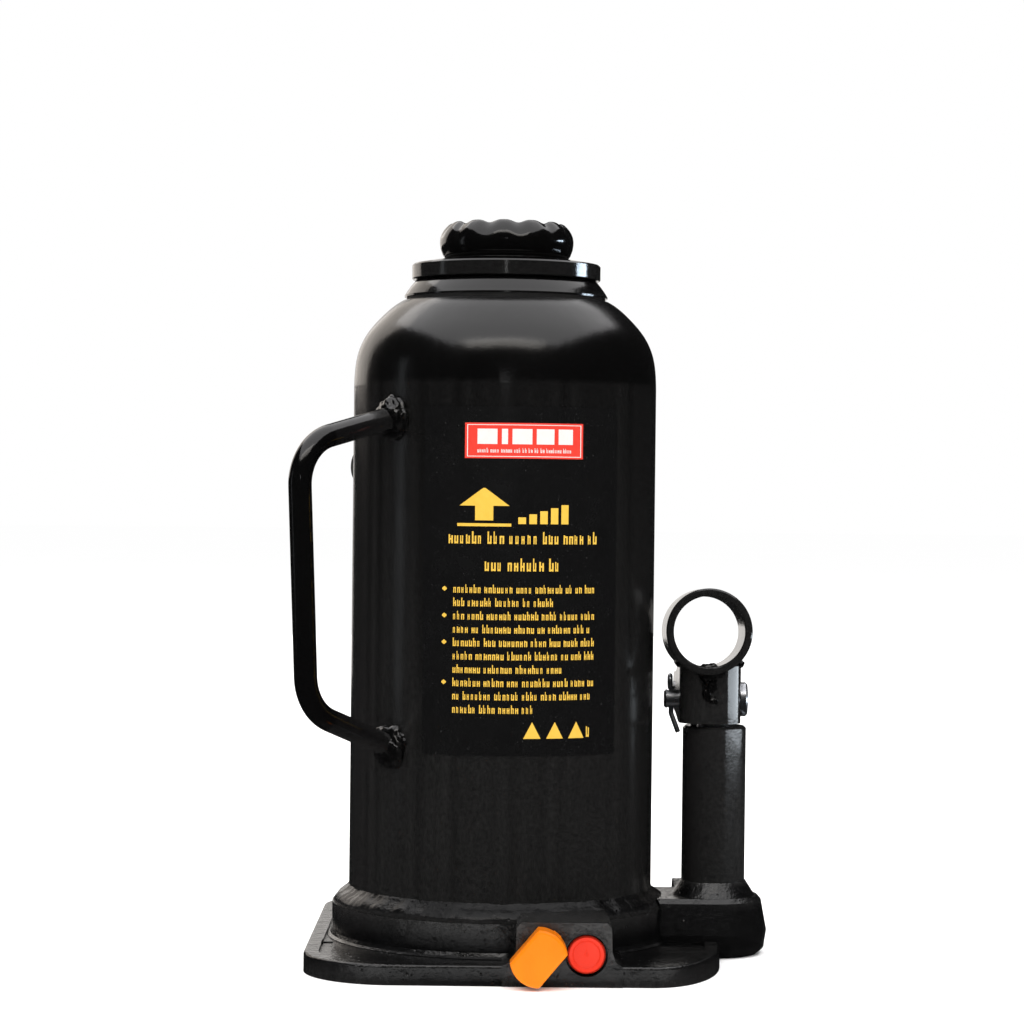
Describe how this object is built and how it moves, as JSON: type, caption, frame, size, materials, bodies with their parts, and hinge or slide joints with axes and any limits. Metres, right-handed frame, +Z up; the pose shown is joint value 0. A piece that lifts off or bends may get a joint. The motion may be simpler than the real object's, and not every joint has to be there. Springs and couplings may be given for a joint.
{
  "type": "hydraulic bottle jack",
  "caption": "Upright hydraulic bottle jack with a cast base, domed oil tank, lifting ram with a screw extension, pump with handle socket, and valves in front.",
  "frame": {"origin": "on the tank's axis, at the flat underside of the base", "axes": "+Z up along the lifting ram; +X towards the pump; -Y towards the label and the valves in front"},
  "size_m": [0.1485, 0.1499, 0.23],
  "materials": {
    "black_enamel": "glossy black enamel with slight orange peel",
    "enamelled_casting": "glossy black enamel over a sand-cast skin",
    "label_print": "satin printed sheet, black with yellow and red print",
    "black_rubber": "matt moulded rubber",
    "machined_steel": "turned steel",
    "plated_steel": "ground and plated",
    "screw_steel": "oiled machined thread",
    "zinc_steel": "bright zinc plate",
    "spring_steel": "drawn wire",
    "copper_alloy": "soft copper alloy, dull",
    "orange_plastic": "moulded, slightly glossy",
    "red_plastic": "moulded, slightly glossy"
  },
  "bodies": {
    "base": {"base_casting": "enamelled_casting", "tank_weld_bead": "black_enamel", "reservoir_tank": "black_enamel", "carry_handle": "black_enamel", "handle_weld_beads": "black_enamel", "label": "label_print", "ram_cylinder": "machined_steel", "cylinder_gasket": "copper_alloy", "tank_gasket": "black_rubber", "tank_cap": "black_enamel", "ram_wiper": "black_rubber", "pump_cylinder": "black_enamel", "pump_gland_seal": "black_rubber", "pump_gasket": "copper_alloy", "delivery_spring": "spring_steel", "delivery_plug": "machined_steel", "suction_strainer": "copper_alloy", "gallery_plugs": "machined_steel", "link_pin": "machined_steel", "relief_cover_plug": "red_plastic", "relief_screw": "machined_steel", "relief_spring": "spring_steel", "relief_ball": "plated_steel"},
    "ram": {"ram": "plated_steel", "piston_collar": "machined_steel", "seal_backup_washer": "copper_alloy", "piston_cup_seal": "black_rubber", "seal_retaining_nut": "machined_steel"},
    "screw": {"extension_screw": "screw_steel", "screw_stop_ring": "screw_steel", "saddle_retaining_ring": "screw_steel"},
    "saddle": {"saddle": "black_enamel"},
    "plunger": {"plunger": "plated_steel", "plunger_cup_seal": "black_rubber"},
    "lever": {"yoke": "black_enamel", "socket_tube": "black_enamel", "socket_weld": "black_enamel", "plunger_pin": "zinc_steel", "pin_spacer": "zinc_steel", "split_pin": "zinc_steel", "fulcrum_pin": "machined_steel"},
    "link": {"link": "black_enamel"},
    "release_ball": {"release_ball": "plated_steel"},
    "release_stem": {"release_stem": "machined_steel", "release_o_ring": "black_rubber", "release_cap": "orange_plastic"},
    "filler_plug": {"oil_filler_plug": "black_rubber"},
    "suction_ball": {"suction_ball": "plated_steel"},
    "delivery_ball": {"delivery_ball": "plated_steel"}
  },
  "joints": [
    {"name": "ram_lift", "type": "slide", "parent": "base", "child": "ram", "axis": [0, 0, 1], "range_m": [0, 0.15]},
    {"name": "screw_extend", "type": "slide", "parent": "ram", "child": "screw", "axis": [0, 0, 1], "range_m": [0, 0.075]},
    {"name": "saddle_turn", "type": "hinge", "parent": "screw", "child": "saddle", "pos_m": [0, 0, 0.224], "axis": [0, 0, 1], "range_deg": [0, 6750.01]},
    {"name": "plunger_stroke", "type": "slide", "parent": "base", "child": "plunger", "axis": [0, 0, 1], "range_m": [0, 0.014]},
    {"name": "handle_pump", "type": "hinge", "parent": "plunger", "child": "lever", "pos_m": [0.0675, 0, 0.0802], "axis": [-1, 0, 0], "range_deg": [0, 32.26]},
    {"name": "link_sway", "type": "hinge", "parent": "base", "child": "link", "pos_m": [0.0657, 0.02598, 0.0124], "axis": [1, 0, 0], "range_deg": [0, 2.95]},
    {"name": "release_advance", "type": "slide", "parent": "base", "child": "release_ball", "axis": [0, -1, 0], "range_m": [0, 0.0015]},
    {"name": "release_valve_turn", "type": "hinge", "parent": "release_ball", "child": "release_stem", "pos_m": [0.0118, -0.075, 0.0094], "axis": [0, -1, 0], "range_deg": [0, 360]},
    {"name": "filler_plug_pull", "type": "slide", "parent": "base", "child": "filler_plug", "axis": [-0.9272, 0.3746, 0], "range_m": [0, 0.025]},
    {"name": "suction_ball_lift", "type": "slide", "parent": "base", "child": "suction_ball", "axis": [0, 0, 1], "range_m": [0, 0.0008]},
    {"name": "delivery_ball_lift", "type": "slide", "parent": "base", "child": "delivery_ball", "axis": [0, 0, 1], "range_m": [0, 0.0008], "stiffness_N_per_m": 60, "springref_m": -0.0015, "deforming": ["delivery_spring"]}
  ],
  "couplings": [
    {"joint": "screw_extend", "follows": "saddle_turn", "m_per_rad": 0.00063662},
    {"joint": "handle_pump", "follows": "plunger_stroke", "rad_per_m": 40.217},
    {"joint": "link_sway", "follows": "plunger_stroke", "rad_per_m": 3.6777},
    {"joint": "release_valve_turn", "follows": "release_advance", "rad_per_m": 4188.8}
  ]
}
